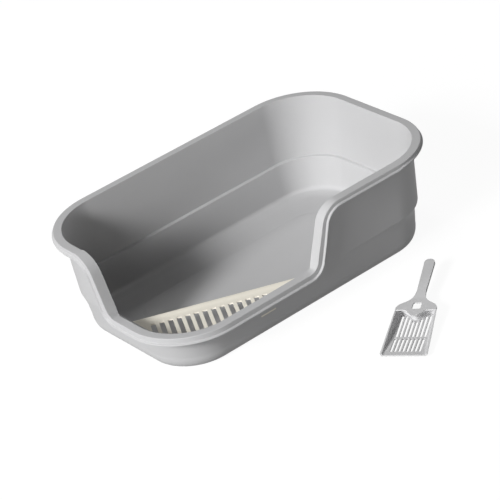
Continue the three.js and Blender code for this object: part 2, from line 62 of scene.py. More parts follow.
def addCamera(view):
    turn = math.radians(view["azimuth"])
    tilt = math.radians(view["elevation"])
    roll = math.radians(view["roll"])
    back = Vector((math.sin(turn) * math.cos(tilt), -math.cos(turn) * math.cos(tilt),
                   math.sin(tilt)))
    level = (-back).cross(Vector((0, 0, 1))).normalized()
    rise = level.cross(-back)
    right = math.cos(roll) * level + math.sin(roll) * rise
    up = math.cos(roll) * rise - math.sin(roll) * level
    place = view["distance"] * back - view["across"] * right - view["up"] * up
    camera = bpy.data.objects.new("camera", bpy.data.cameras.new("camera"))
    camera.data.lens = view["lens"]
    camera.data.sensor_width = view["sensor"]
    camera.data.shift_x = view["shiftAcross"]
    camera.data.shift_y = view["shiftUp"]
    camera.data.clip_end = view["reach"]
    facing = Matrix((right, up, back)).transposed().to_4x4()
    camera.matrix_world = Matrix.Translation(place) @ facing
    scene.collection.objects.link(camera)
    scene.camera = camera


room = {
    "worldLight": 0.004,  # what falls on things
    "worldSeen": 1,  # what the camera sees
    "floorSize": 14,
    "floorGrey": 0.2,  # as the tub sees it
    "paperGrey": 0.8,  # as the camera sees it, in a small share beside the glow
    "shadowShare": 0.12,
    "paperGlow": 1.07,
    "lampDistance": 12,
    "lampSize": 2.4,
    "lamps": [  # name, degrees round from +X, degrees up, power
        ("keyLamp", 188, 30, 1090),
        ("keySideLamp", 193, 26, 194),
        ("highKeyLamp", 178, 35, 205),
        ("lowKeyLamp", 201, 18, 250),
        ("farLamp", 90, 60, 190),
        ("topLamp", 180, 88, 70),
        ("nearLamp", 225, 10, 133),
        ("nearLowLamp", 242, 2, 80),
        ("nearRightLamp", 315, 6, 174),
    ],
}


def addLamp(name, turn, tilt, power):
    light = bpy.data.lights.new(name, "AREA")
    light.shape = "SQUARE"
    light.size = room["lampSize"]
    light.energy = power
    lamp = bpy.data.objects.new(name, light)
    turn, tilt = math.radians(turn), math.radians(tilt)
    aim = Vector((math.cos(turn) * math.cos(tilt), math.sin(turn) * math.cos(tilt),
                  math.sin(tilt)))
    lamp.location = aim * room["lampDistance"]
    lamp.rotation_euler = aim.to_track_quat("Z", "Y").to_euler()
    scene.collection.objects.link(lamp)


def seenDirectly(nodes, links):  # 1 for the camera and reflections, 0 for light on things
    lightPath = nodes.new("ShaderNodeLightPath")
    total = lightPath.outputs["Is Camera Ray"]
    for ray in ("Is Glossy Ray", "Is Transmission Ray"):
        more = nodes.new("ShaderNodeMath")
        more.operation = "MAXIMUM"
        links.new(total, more.inputs[0])
        links.new(lightPath.outputs[ray], more.inputs[1])
        total = more.outputs[0]
    return total


def addWorld():
    world = bpy.data.worlds.new("paleRoom")
    scene.world = world
    world.use_nodes = True
    nodes, links = world.node_tree.nodes, world.node_tree.links
    nodes.clear()
    soft = nodes.new("ShaderNodeBackground")
    soft.inputs["Color"].default_value = (1, 1, 1, 1)
    soft.inputs["Strength"].default_value = room["worldLight"]
    white = nodes.new("ShaderNodeBackground")
    white.inputs["Color"].default_value = (1, 1, 1, 1)
    white.inputs["Strength"].default_value = room["worldSeen"]
    either = nodes.new("ShaderNodeMixShader")
    output = nodes.new("ShaderNodeOutputWorld")
    links.new(seenDirectly(nodes, links), either.inputs["Fac"])
    links.new(soft.outputs[0], either.inputs[1])
    links.new(white.outputs[0], either.inputs[2])
    links.new(either.outputs[0], output.inputs["Surface"])


def addFloor():
    bm = bmesh.new()
    bmesh.ops.create_grid(bm, x_segments=1, y_segments=1, size=room["floorSize"] / 2)
    mesh = bpy.data.meshes.new("floor")
    bm.to_mesh(mesh)
    bm.free()
    floor = bpy.data.objects.new("floor", mesh)
    scene.collection.objects.link(floor)
    paper = bpy.data.materials.new("floorPaper")
    paper.use_nodes = True
    nodes, links = paper.node_tree.nodes, paper.node_tree.links
    nodes.clear()
    plain = nodes.new("ShaderNodeBsdfDiffuse")
    plain.inputs["Color"].default_value = (room["floorGrey"],) * 3 + (1,)
    pale = nodes.new("ShaderNodeBsdfDiffuse")
    pale.inputs["Color"].default_value = (room["paperGrey"],) * 3 + (1,)
    glow = nodes.new("ShaderNodeEmission")
    glow.inputs["Strength"].default_value = room["paperGlow"]
    faint = nodes.new("ShaderNodeMixShader")
    faint.inputs["Fac"].default_value = room["shadowShare"]
    either = nodes.new("ShaderNodeMixShader")
    output = nodes.new("ShaderNodeOutputMaterial")
    links.new(glow.outputs[0], faint.inputs[1])
    links.new(pale.outputs[0], faint.inputs[2])
    links.new(seenDirectly(nodes, links), either.inputs["Fac"])
    links.new(plain.outputs[0], either.inputs[1])
    links.new(faint.outputs[0], either.inputs[2])
    links.new(either.outputs[0], output.inputs["Surface"])
    floor.data.materials.append(paper)


addCamera(cameraView)
addWorld()
addFloor()
for lamp in room["lamps"]:
    addLamp(*lamp)
print("camera, floor and lamps placed")


# Moulded plastics

def mouldedPlastic(name, look):
    plastic = bpy.data.materials.new(name)
    plastic.use_nodes = True
    nodes, links = plastic.node_tree.nodes, plastic.node_tree.links
    surface = nodes["Principled BSDF"]
    surface.inputs["IOR"].default_value = look["ior"]
    surface.inputs["Specular IOR Level"].default_value = look["shine"]
    spot = nodes.new("ShaderNodeTexCoord")

    cloud = nodes.new("ShaderNodeTexNoise")
    cloud.inputs["Scale"].default_value = look["cloudScale"]
    cloud.inputs["Detail"].default_value = look["cloudDetail"]
    links.new(spot.outputs["Object"], cloud.inputs["Vector"])
    tone = nodes.new("ShaderNodeValToRGB")
    for end, place, colour in zip(tone.color_ramp.elements, look["cloudEnds"],
                                  (look["shade"], look["colour"])):
        end.position = place
        end.color = (*colour, 1)
    links.new(cloud.outputs["Fac"], tone.inputs["Fac"])
    links.new(tone.outputs["Color"], surface.inputs["Base Color"])

    satin = nodes.new("ShaderNodeMapRange")
    satin.inputs["To Min"].default_value = look["roughness"][0]
    satin.inputs["To Max"].default_value = look["roughness"][1]
    links.new(cloud.outputs["Fac"], satin.inputs["Value"])
    links.new(satin.outputs["Result"], surface.inputs["Roughness"])

    grain = nodes.new("ShaderNodeTexNoise")
    grain.inputs["Scale"].default_value = look["grainScale"]
    grain.inputs["Detail"].default_value = look["grainDetail"]
    links.new(spot.outputs["Object"], grain.inputs["Vector"])
    bump = nodes.new("ShaderNodeBump")
    bump.inputs["Strength"].default_value = look["grainStrength"]
    bump.inputs["Distance"].default_value = look["grainDepth"]
    links.new(grain.outputs["Fac"], bump.inputs["Height"])
    links.new(bump.outputs["Normal"], surface.inputs["Normal"])
    return plastic


greyFinish = {
    "colour": (0.50, 0.50, 0.505),
    "shade": (0.485, 0.485, 0.49),
    "roughness": (0.58, 0.66),
    "shine": 0.3,
    "ior": 1.49,
    "cloudScale": 9,
    "cloudDetail": 3,
    "cloudEnds": (0.3, 0.7),
    "grainScale": 1400,
    "grainDetail": 2,
    "grainStrength": 0.12,
    "grainDepth": 0.00005,
}
creamFinish = {
    **greyFinish,
    "colour": (0.87, 0.83, 0.73),
    "shade": (0.85, 0.81, 0.71),
    "cloudScale": 12,
    "grainStrength": 0.10,
}
# The scoop's plastic is a lighter copy of the grey: painted light, standing in for the brighter
# light that falls on the scoop.
scoopPaintedLightFinish = {
    **greyFinish,
    "colour": (0.62, 0.62, 0.625),
    "shade": (0.60, 0.60, 0.605),
}
greyPlastic = mouldedPlastic("greyPlastic", greyFinish)
creamPlastic = mouldedPlastic("creamPlastic", creamFinish)
scoopPaintedLightPlastic = mouldedPlastic("scoopPaintedLightPlastic", scoopPaintedLightFinish)
for node, plastic in (("tub", greyPlastic), ("entrance_grate", creamPlastic),
                      ("scoop", scoopPaintedLightPlastic)):
    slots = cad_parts[node].data.materials
    slots.clear()
    slots.append(plastic)
print("plastics mixed")


# Shaping helpers. Every piece is shaped in millimetres and brought to metres at the end.

millimetre = 0.001
past = 5  # how far a block that cuts or trims another reaches beyond it


def mix(a, b, share):
    return a + (b - a) * share


def newPiece(name, bm):
    mesh = bpy.data.meshes.new(name)
    bm.to_mesh(mesh)
    bm.free()
    piece = bpy.data.objects.new(name, mesh)
    scene.collection.objects.link(piece)
    return piece


def join(piece, other, operation):  # the other piece goes afterwards
    change = piece.modifiers.new("join", "BOOLEAN")
    change.object = other
    change.operation = operation
    change.solver = "EXACT"
    shaped = piece.evaluated_get(bpy.context.evaluated_depsgraph_get())
    mesh = bpy.data.meshes.new_from_object(shaped)
    piece.modifiers.clear()
    piece.data = mesh
    bpy.data.objects.remove(other)


def addBlock(bm, low, high, place=None):
    middle = (Vector(low) + Vector(high)) / 2
    size = Vector(high) - Vector(low)
    spot = Matrix.Translation(middle) @ Matrix.Diagonal((*size, 1))
    bmesh.ops.create_cube(bm, size=1, matrix=(place or Matrix()) @ spot)


def pushOut(bm, faces, way):
    made = bmesh.ops.extrude_face_region(bm, geom=faces)["geom"]
    bmesh.ops.translate(bm, vec=way, verts=[v for v in made if isinstance(v, bmesh.types.BMVert)])
    bmesh.ops.recalc_face_normals(bm, faces=bm.faces)


def uprightEdges(bm):
    return [edge for edge in bm.edges if abs(edge.verts[0].co.z - edge.verts[1].co.z) > 1]


def roundEdges(bm, edges, width, segments, clamp=False):
    bmesh.ops.bevel(bm, geom=edges, offset=width, offset_type="OFFSET", segments=segments,
                    profile=0.5, affect="EDGES", material=-1, clamp_overlap=clamp)


def finish(piece, plastic, body, slot, *nodes):
    piece.data.transform(Matrix.Scale(millimetre, 4))
    piece.data.materials.clear()
    piece.data.materials.append(plastic)
    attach(piece, body)
    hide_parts(*nodes)


# The tub. Its section runs out along the underside, up the wall, over the rim and
# down the inside, and is drawn again at each stop on the way round.

tub = {
    "length": 600,
    "width": 372.5,
    "cornerRadius": 113.8,
    "height": 181,
    "entranceHeight": 77.4,
    "entranceInset": 4,
    "topFace": 14.8,
    "topRise": 0.3,
    "edgeRound": 1.4,
    "innerRound": 0.5,
    "neck": (2.2, 22),  # how far out from the rim's inner edge the wall ends, and its flare
    "neckRound": 1,
    "frontSlopeFace": 4.2,  # how much wider the top face is on the slopes
    "sideSlopeFace": 4.5,
    "sideFaceEnd": 10,  # degrees of climb, where the wider face stops in a notch
    "mitre": 0.75,  # how nearly the inner edge comes to a sharp corner at a slope's foot
    "rimSheet": 2.4,
    "skirtFlare": 0.5,
    "skirtDrop": 6.4,
    "lipReach": 3.6,
    "lipTop": 8,
    "lipBottom": 10,
    "lipRounds": (0.4, 0.5, 0.8, 0.6),  # inside it, under, over, and where the skirt meets it
    "lipLift": 2.4,
    "lipLower": 2.2,  # round the entrance
    "lipLowerRate": 1.5,
    "lipInset": 0.9,
    "frontFoot": 166.1,  # from the middle of the low corner to where each slope starts
    "sideFoot": 50.4,
    "frontSlope": 71.4,
    "sideSlope": 76.4,
    "footBend": 20,
    "crestBend": 42,
    "wall": 3,
    "wallTop": 99.3,  # distances out from the middles of the corners
    "shoulder": (93, 67.6),
    "brow": (88.3, 60.6),
    "waist": (85.6, 52.5),
    "bandRounds": (4, 3, 2),  # of the waist, the brow and the shoulder
    "bandFade": (0.65, 0.3),  # of the turn round the far corner, where the bands start and how fast
    "plainTop": 75,  # round the entrance the wall runs straight from the foot to here
    "foot": (82.7, 23),
    "footFillet": 10.4,
    "footFilletStops": 10,
    "underside": 1.2,
    "floor": 4.4,
    "ledge": (69.6, 1, 5.5),  # height, fall and width
    "ledgeRounds": (0.8, 1),
    "innerWaist": (55.5, 6),  # height and rounding
    "heel": (8, 80, 14),  # inside, a small bend at the wall and a wide one that meet at this lean
    "heelStops": (7, 5),
    "footPanel": (398, 174, 48, 3),  # length, width, corner and border
    "floorPanel": (384, 164, 38, 6),
    "panelFloor": 5.2,
    "panelRound": 0.8,
    "roundSteps": 4,
    "weldGap": 0.001,
    "cornerStops": 26,
    "footStops": 8,
    "slopeStops": 5,
    "crestStops": 14,
}


def wallRadius(height):
    if height > tub["waist"][1]:
        radius, start = tub["shoulder"]
        return mix(radius, tub["wallTop"], (height - start) / (tub["height"] - start))
    radius, start = tub["foot"]
    return mix(radius, tub["waist"][0], (height - start) / (tub["waist"][1] - start))


# Each stop on a slope: how far along, how high and how steep the rim is, and the way
# from the bend at the foot to its sharp corner.
def slopeStops(foot, degrees):
    steep = math.radians(degrees)
    rise = tub["height"] - tub["entranceHeight"]
    bends = tub["footBend"] + tub["crestBend"]
    straight = (rise - bends * (1 - math.cos(steep))) / math.sin(steep)
    stops = []
    for k in range(tub["footStops"] + 1):
        climb = steep * k / tub["footStops"]
        across = tub["footBend"] * math.sin(climb)
        up = tub["footBend"] * (1 - math.cos(climb))
        near = math.sin(math.pi * k / tub["footStops"])
        meet = (near * (tub["footBend"] * math.tan(steep / 2) - across), -near * up)
        stops.append((foot + across, tub["entranceHeight"] + up, climb, meet))
    along, height = stops[-1][:2]
    for k in range(1, tub["slopeStops"]):
        run = straight * k / tub["slopeStops"]
        stops.append((along + run * math.cos(steep), height + run * math.sin(steep), steep, (0, 0)))
    crest = along + straight * math.cos(steep)
    for k in range(tub["crestStops"] + 1):
        climb = steep * (1 - k / tub["crestStops"])
        stops.append((crest + tub["crestBend"] * (math.sin(steep) - math.sin(climb)),
                      tub["height"] - tub["crestBend"] * (1 - math.cos(climb)), climb, (0, 0)))
    return stops


def frontWider(climb):
    return tub["frontSlopeFace"] * math.sin(climb)


def sideWider(climb):
    wide = tub["sideSlopeFace"] * math.sqrt(math.sin(climb))
    return wide if climb > math.radians(tub["sideFaceEnd"]) else 0


def farCornerPlain(share):  # how far the bands have faded, on the way to the entrance
    start, reach = tub["bandFade"]
    return max(0, min(1, (share - start) / reach))


def rimStops():
    halfX = tub["length"] / 2 - tub["cornerRadius"]
    halfY = tub["width"] / 2 - tub["cornerRadius"]
    stops = []

    def addCorner(x, y, start, height, plain=lambda share: 0):
        for k in range(tub["cornerStops"] + 1):
            share = k / tub["cornerStops"]
            angle = math.radians(start + 90 * share)
            offMiddle = math.radians(45) * abs(2 * share - 1)
            fade = max(0, (math.sqrt(2) * math.cos(offMiddle) - 1) / (math.sqrt(2) - 1))
            stops.append({
                "base": Vector((x, y)), "run": Vector((0, 0)),
                "out": Vector((math.cos(angle), math.sin(angle))),
                "along": 0, "height": height, "climb": 0, "meet": (0, 0),
                "wider": 0, "plain": plain(share),
                "lift": math.sqrt(fade) if height == tub["height"] else 0})

    def addSlope(base, run, out, line, wider):
        for along, height, climb, meet in line:
            stops.append({
                "base": Vector(base), "run": Vector(run), "out": Vector(out),
                "along": along, "height": height, "climb": climb, "meet": meet,
                "wider": wider(climb), "plain": 1, "lift": 0})

    addSlope((0, -halfY), (1, 0), (0, -1),
             slopeStops(tub["frontFoot"] - halfX, tub["frontSlope"]), frontWider)
    addCorner(halfX, -halfY, -90, tub["height"])
    addCorner(halfX, halfY, 0, tub["height"])
    addCorner(-halfX, halfY, 90, tub["height"], farCornerPlain)
    addSlope((-halfX, 0), (0, 1), (-1, 0),
             slopeStops(tub["sideFoot"] - halfY, tub["sideSlope"])[::-1], sideWider)
    addCorner(-halfX, -halfY, 180, tub["entranceHeight"], lambda share: 1)
    return stops


def sectionAt(stop):  # rows of (point, how far its edge is rounded)
    sine, cosine = math.sin(stop["climb"]), math.cos(stop["climb"])
    fall = (tub["height"] - stop["height"]) / (tub["height"] - tub["entranceHeight"])
    rimRadius = tub["cornerRadius"] - tub["entranceInset"] * fall
    junction = stop["along"] + tub["rimSheet"] * sine
    halfX = tub["length"] / 2 - tub["cornerRadius"]
    halfY = tub["width"] / 2 - tub["cornerRadius"]

    def wall(radius, height):
        flat = stop["base"] + stop["run"] * junction + stop["out"] * radius
        return Vector((flat.x, flat.y, height))

    def rim(out, down, mitre=0):
        flat = stop["base"] + stop["run"] * (stop["along"] + down * sine + mitre * stop["meet"][0])
        flat += stop["out"] * (rimRadius + out)
        return Vector((flat.x, flat.y, stop["height"] - down * cosine + mitre * stop["meet"][1]))

    def panel(size, grow, height):
        length, width, radius, _ = size
        flat = stop["base"] + stop["run"] * junction
        return Vector((flat.x * (length / 2 - radius) / halfX + stop["out"].x * (radius + grow),
                       flat.y * (width / 2 - radius) / halfY + stop["out"].y * (radius + grow),
                       height))

    lift = tub["lipLift"] * stop["lift"] - tub["lipLower"] * min(1, tub["lipLowerRate"] * fall)
    lip = tub["lipReach"] - tub["lipInset"] * stop["lift"]
    sheet, flare = tub["rimSheet"], tub["skirtFlare"]
    below, above, soft = tub["footPanel"], tub["floorPanel"], tub["panelRound"]
    rows = [(panel(below, 0, 0), soft), (panel(below, below[3], tub["underside"]), soft)]
    footRadius, footHeight = tub["foot"]
    for k in range(tub["footFilletStops"] + 1):
        t = math.radians(90 * k / tub["footFilletStops"])
        rows.append((wall(footRadius - tub["footFillet"] * (1 - math.sin(t)),
                          mix(footHeight, tub["underside"], math.cos(t))), 0))
    for band, width in zip(("waist", "brow", "shoulder"), tub["bandRounds"]):
        radius, height = tub[band]
        straight = mix(footRadius, wallRadius(tub["plainTop"]),
                       (height - footHeight) / (tub["plainTop"] - footHeight))
        rows.append((wall(mix(radius, straight, stop["plain"]), height), width))
    face = tub["topFace"] + stop["wider"]
    neck, neckDepth = tub["neck"]
    low = max(stop["height"] - neckDepth, tub["shoulder"][1] + tub["neckRound"])
    inLip, underLip, overLip, aboveLip = tub["lipRounds"]
    ledgeHeight, ledgeDrop, ledgeWidth = tub["ledge"]
    ledgeRadius = wallRadius(ledgeHeight) - tub["wall"]
    waistHeight, waistRound = tub["innerWaist"]
    rows += [
        (wall(wallRadius(low), low), tub["neckRound"]),
        (rim(neck - face, sheet, tub["mitre"]), tub["neckRound"]),
        (rim(-sheet, sheet), tub["neckRound"]),
        (rim(flare - sheet, tub["lipBottom"] - lift), inLip),
        (rim(lip, tub["lipBottom"] - lift), underLip),
        (rim(lip, tub["lipTop"] - lift), overLip),
        (rim(flare, tub["skirtDrop"] - lift), aboveLip),
        (rim(0, 0), tub["edgeRound"]),
        (rim(-face, -tub["topRise"], tub["mitre"]), tub["innerRound"]),
        (wall(ledgeRadius, ledgeHeight), tub["ledgeRounds"][0]),
        (wall(ledgeRadius - ledgeWidth, ledgeHeight - ledgeDrop), tub["ledgeRounds"][1]),
        (wall(tub["waist"][0] - tub["wall"], waistHeight), waistRound),
    ]
    small, wide, lean = tub["heel"]
    lean = math.radians(lean)
    top = tub["floor"] + wide * (1 - math.cos(lean)) + small * math.cos(lean)
    middle = wallRadius(top) - tub["wall"] - small
    smallStops, wideStops = tub["heelStops"]
    for k in range(smallStops + 1):
        t = mix(math.pi / 2, lean, k / smallStops)
        rows.append((wall(middle + small * math.sin(t), top - small * math.cos(t)), 0))
    for k in range(1, wideStops + 1):
        t = lean * (1 - k / wideStops)
        away = wide * (math.sin(lean) - math.sin(t))
        rows.append((wall(middle + small * math.sin(lean) - away,
                          tub["floor"] + wide * (1 - math.cos(t))), 0))
    return rows + [(panel(above, above[3], tub["floor"]), soft),
                   (panel(above, 0, tub["panelFloor"]), soft)]


def loftTub():
    bm = bmesh.new()
    rowOf = bm.verts.layers.int.new("row")
    roundOf = bm.edges.layers.int.new("round")
    sections = [sectionAt(stop) for stop in rimStops()]
    ring = []
    for row, (point, _) in enumerate(sections[0]):
        ring.append(bm.verts.new(point))
        ring[-1][rowOf] = row
    edges = [bm.edges.new(pair) for pair in zip(ring, ring[1:])]
    for section in sections[1:] + sections[:1]:
        made = bmesh.ops.extrude_edge_only(bm, edges=edges)["geom"]
        fresh = {v for v in made if isinstance(v, bmesh.types.BMVert)}
        for vert in fresh:
            vert.co = section[vert[rowOf]][0]
        edges = [e for e in made if isinstance(e, bmesh.types.BMEdge) and set(e.verts) <= fresh]
    bmesh.ops.remove_doubles(bm, verts=bm.verts, dist=tub["weldGap"])
    for edge in bm.edges:
        rows = {vert[rowOf] for vert in edge.verts}
        edge[roundOf] = rows.pop() + 1 if len(rows) == 1 else 0
    bmesh.ops.edgeloop_fill(bm, edges=[e for e in bm.edges if e.is_boundary])
    for row, (_, width) in enumerate(sections[0]):
        if width:
            roundEdges(bm, [e for e in bm.edges if e[roundOf] == row + 1], width, tub["roundSteps"])
    bmesh.ops.recalc_face_normals(bm, faces=bm.faces)
    return newPiece("moulded_tub", bm)


step = {
    "bottom": 44.5,
    "sheet": 2.5,
    "wallGap": 0.4,
    "frontReach": 312.5,
    "sideReach": 157.6,
    "tipRound": 8,
    "tipSteps": 8,
    "cornerSteps": 32,
    "beadWidth": 17,
    "bead": [(0, -1.1), (0.15, -0.3), (0.6, 0.45), (1.5, 1.05), (2.8, 1.42), (4.2, 1.57),
             (5.5, 1.6), (7.2, 1.5), (9, 1.25), (11, 0.85), (13, 0.45), (15, 0.15), (17, 0)],
    "skirtDepth": 10,
    "skirtSheet": 2.4,
    "skirtGap": 3,
    "slots": 16,
    "slotPitch": 14.26,
    "slotWidth": 8.4,
    "slotStart": 23.2,
    "firstSlot": 40.9,
    "slotReach": 120,
    "border": 10,
    "slotRound": 1.5,
    "roundSteps": 4,
    "tabReach": 172.3,
    "tabLength": 30.3,
    "tabSheet": 2.6,
    "tabBottom": 36.8,
    "tabProud": 1,
    "tabEndGap": 0.6,
    "tabTopGap": 0.8,
    "armSheet": 2.4,
    "armGap": 0.9,
    "rest": (12, 7, 8),  # length, depth and height
    "frontRestNear": 117.6,
    "frontRestFar": 35,
    "sideRest": 20,
    "cornerRest": 225,  # degrees round from +X
}
cornerX = -(tub["length"] / 2 - tub["cornerRadius"])
cornerY = -(tub["width"] / 2 - tub["cornerRadius"])
stepRadius = wallRadius(step["bottom"]) - tub["wall"] - step["wallGap"]
stepLeft, stepFront = cornerX - stepRadius, cornerY - stepRadius
edgeStart = Vector((stepLeft, stepFront + step["sideReach"]))
edgeEnd = Vector((stepLeft + step["frontReach"], stepFront))
edgeAlong = (edgeEnd - edgeStart).normalized()
edgeOut = Vector((edgeAlong.y, -edgeAlong.x))
edgeLength = (edgeEnd - edgeStart).length
alongEdge = Matrix.Translation((*edgeStart, 0)) @ Matrix((
    (*edgeAlong, 0), (*edgeOut, 0), (0, 0, 1))).transposed().to_4x4()
tabMiddle = stepLeft + step["tabReach"]


def makeTub():
    piece = loftTub()
    length, depth, height = step["rest"]
    top = step["bottom"]
    inner = wallRadius(top - height) - tub["wall"]
    bm = bmesh.new()
    for middle in (stepLeft + step["frontRestNear"], edgeEnd.x - step["frontRestFar"]):
        addBlock(bm, (middle - length / 2, cornerY - inner - tub["wall"] / 2, top - height),
                 (middle + length / 2, cornerY - inner + depth, top))
    middle = edgeStart.y - step["sideRest"]
    addBlock(bm, (cornerX - inner - tub["wall"] / 2, middle - length / 2, top - height),
             (cornerX - inner + depth, middle + length / 2, top))
    turn = Matrix.Rotation(math.radians(step["cornerRest"]), 4, "Z")
    turned = Matrix.Translation((cornerX, cornerY, 0)) @ turn
    addBlock(bm, (inner - depth, -length / 2, top - height),
             (inner + tub["wall"] / 2, length / 2, top), turned)
    join(piece, newPiece("rests", bm), "UNION")
    bm = bmesh.new()
    outer = wallRadius(step["tabBottom"] + step["tabSheet"] / 2)
    half = step["tabLength"] / 2 + step["tabEndGap"]
    addBlock(bm, (tabMiddle - half, cornerY - outer - tub["wall"],
                  step["tabBottom"] - step["tabEndGap"]),
             (tabMiddle + half, cornerY - outer + 2 * tub["wall"],
              step["tabBottom"] + step["tabSheet"] + step["tabTopGap"]))
    join(piece, newPiece("tabSlot", bm), "DIFFERENCE")
    for face in piece.data.polygons:
        face.use_smooth = True
    finish(piece, greyPlastic, "tub", "grey_plastic", "tub")
    steady = piece.modifiers.new("evenShading", "WEIGHTED_NORMAL")
    steady.keep_sharp = True
    return piece


mouldedTub = makeTub()
print("tub shaped:", len(mouldedTub.data.polygons), "faces")


# The slotted step

def addOutline(bm, corners, radii, steps, height):  # a flat face with rounded corners
    ends = []
    for i, corner in enumerate(corners):
        toBefore = (corners[i - 1] - corner).normalized()
        toAfter = (corners[(i + 1) % len(corners)] - corner).normalized()
        half = toBefore.angle(toAfter) / 2
        centre = corner + (toBefore + toAfter).normalized() * radii[i] / math.sin(half)
        start = corner + toBefore * radii[i] / math.tan(half)
        first = bm.verts.new((*start, height))
        spun = bmesh.ops.spin(
            bm, geom=[first], cent=(*centre, height), axis=(0, 0, 1),
            angle=math.pi - 2 * half, steps=steps[i])
        ends.append((first, [v for v in spun["geom_last"] if isinstance(v, bmesh.types.BMVert)][0]))
    for i, (first, last) in enumerate(ends):
        bm.edges.new((last, ends[(i + 1) % len(ends)][0]))
    bmesh.ops.edgeloop_fill(bm, edges=bm.edges[:])


def stepBlock(name, radius, low, high):
    left, front = cornerX - radius, cornerY - radius
    slope = edgeAlong.y / edgeAlong.x
    corners = [Vector((left, edgeStart.y + slope * (left - edgeStart.x))), Vector((left, front)),
               Vector((edgeStart.x + (front - edgeStart.y) / slope, front))]
    bm = bmesh.new()
    addOutline(bm, corners, (step["tipRound"], radius, step["tipRound"]),
               (step["tipSteps"], step["cornerSteps"], step["tipSteps"]), low)
    pushOut(bm, bm.faces[:], (0, 0, high - low))
    return newPiece(name, bm)


softEdge = {
    "width": 0.4,
    "segments": 2,
    "sharpest": 40,  # degrees, edges that turn more than this are rounded
    "weldGap": 0.01,
}


def softenEdges(piece):
    bm = bmesh.new()
    bm.from_mesh(piece.data)
    bmesh.ops.remove_doubles(bm, verts=bm.verts, dist=softEdge["weldGap"])
    bm.to_mesh(piece.data)
    bm.free()
    for face in piece.data.polygons:
        face.use_smooth = True
    soft = piece.modifiers.new("softEdges", "BEVEL")
    soft.width = softEdge["width"] * millimetre
    soft.segments = softEdge["segments"]
    soft.limit_method = "ANGLE"
    soft.angle_limit = math.radians(softEdge["sharpest"])
    steady = piece.modifiers.new("evenShading", "WEIGHTED_NORMAL")
    steady.keep_sharp = True


def makeStep():
    bottom, top = step["bottom"], step["bottom"] + step["sheet"]
    piece = stepBlock("slotted_step", stepRadius, bottom, top)

    bm = bmesh.new()
    line = [(0, bottom), *[(out, top + rise) for out, rise in step["bead"]],
            (step["beadWidth"], bottom)]
    bm.faces.new([bm.verts.new(alongEdge @ Vector((-past, out, height))) for out, height in line])
    pushOut(bm, bm.faces[:], (*(edgeAlong * (edgeLength + 2 * past)), 0))
    bead = newPiece("bead", bm)
    join(bead, stepBlock("beadEnds", stepRadius, bottom - past, top + past), "INTERSECT")
    join(piece, bead, "UNION")

    bm = bmesh.new()
    skirtBottom = bottom - step["skirtDepth"]
    addBlock(bm, (-past, 0, skirtBottom),
             (edgeLength + past, step["skirtSheet"], bottom + step["sheet"] / 2), alongEdge)
    skirt = newPiece("skirt", bm)
    skirtEnds = stepBlock("skirtEnds", stepRadius - step["skirtGap"], skirtBottom - past, top)
    join(skirt, skirtEnds, "INTERSECT")
    join(piece, skirt, "UNION")

    bm = bmesh.new()
    for k in range(step["slots"]):
        left = step["firstSlot"] + k * step["slotPitch"]
        addBlock(bm, (left, step["slotStart"], bottom - 2 * past),
                 (left + step["slotWidth"], step["slotStart"] + step["slotReach"],
                  top + 2 * past), alongEdge)
    roundEdges(bm, uprightEdges(bm), step["slotRound"], step["roundSteps"])
    slots = newPiece("slots", bm)
    slotEnds = stepBlock("slotEnds", stepRadius - step["border"], bottom - past, top + past)
    join(slots, slotEnds, "INTERSECT")
    join(piece, slots, "DIFFERENCE")

    armOut = cornerY - wallRadius(step["tabBottom"]) + tub["wall"] + step["armGap"]
    armIn = armOut + step["armSheet"]
    outer = wallRadius(step["tabBottom"] + step["tabSheet"] / 2)
    tabTip = cornerY - outer - step["tabProud"]
    tabTop, armTop = step["tabBottom"] + step["tabSheet"], bottom + step["sheet"] / 2
    line = [(tabTip, step["tabBottom"]), (armIn, step["tabBottom"]), (armIn, armTop),
            (armOut, armTop), (armOut, tabTop), (tabTip, tabTop)]
    bm = bmesh.new()
    side = tabMiddle - step["tabLength"] / 2
    bm.faces.new([bm.verts.new((side, y, height)) for y, height in line])
    pushOut(bm, bm.faces[:], (step["tabLength"], 0, 0))
    join(piece, newPiece("tab", bm), "UNION")
    softenEdges(piece)
    finish(piece, creamPlastic, "entrance_grate", "cream_plastic", "entrance_grate")
    return piece


slottedStep = makeStep()
print("step shaped:", len(slottedStep.data.polygons), "faces")


# The scoop, shaped along +X from its lip to the tip of its handle and then laid down

ladle = {
    "place": (-17.3, -386.65, 37),  # lip middle, and which way the handle points
    "lipHalf": (37, 38),  # half the width at the bottom and at the top of the wall
    "bendHalf": 33,
    "rearHalf": (28, 33.5),
    "bowl": 122,
    "bend": 52,
    "footRounds": (2, 3),  # of the bowl's lower edges, outside and inside
    "footEdgeTop": 7,  # lower edges lie below this
    "footEdgeLength": 5,  # and run further than this
    "flattest": 1,  # degrees, faces that turn less than this become one
    "hollowTop": 12,  # how far the hollow's block stands over the bowl
    "lipRise": 3,
    "floor": 2.2,
    "wall": 2.2,
    "rearHeight": 17,
    "lipWall": 2,
    "slots": 8,
    "slotPitch": 6.5,
    "slotWidth": 3.9,
    "slotMargin": 4,
    "slotFlat": 0.05,  # left between the rounded corners of a slot's end
    "slotSteps": 5,
    "lipMargin": 10,
    "bulge": (18, 20),  # how far forwards, half its width
    "bulgeSteps": 28,
    "overhang": 10,
    "cornerRound": 8,
    "cornerSteps": 8,
    "cornerClear": 0.02,
    "hood": 2.4,
    "outline": [(0, 33.5), (4, 29), (9, 22.3), (14, 16.4), (21, 11.6), (30, 8.8), (40, 7.4)],
    "outlineSteps": 4,
    "shoulderPoint": 2,  # of the outline's points, where the hood's corners end
    "neckPoint": 4,  # and where the handle starts
    "handleTip": 8.6,
    "tipSteps": 15,
    "length": 249,
    "handle": 5,
    "handleRise": 4,
    "hanging": (121.5, 19, 14, 3),  # middle, length, width and corner
    "hangingSteps": 8,
    "hangingDepth": 9,
}


def swellAt(y):
    depth, half = ladle["bulge"]
    return depth * (1 + math.cos(math.pi * y / half)) / 2 if abs(y) < half else 0


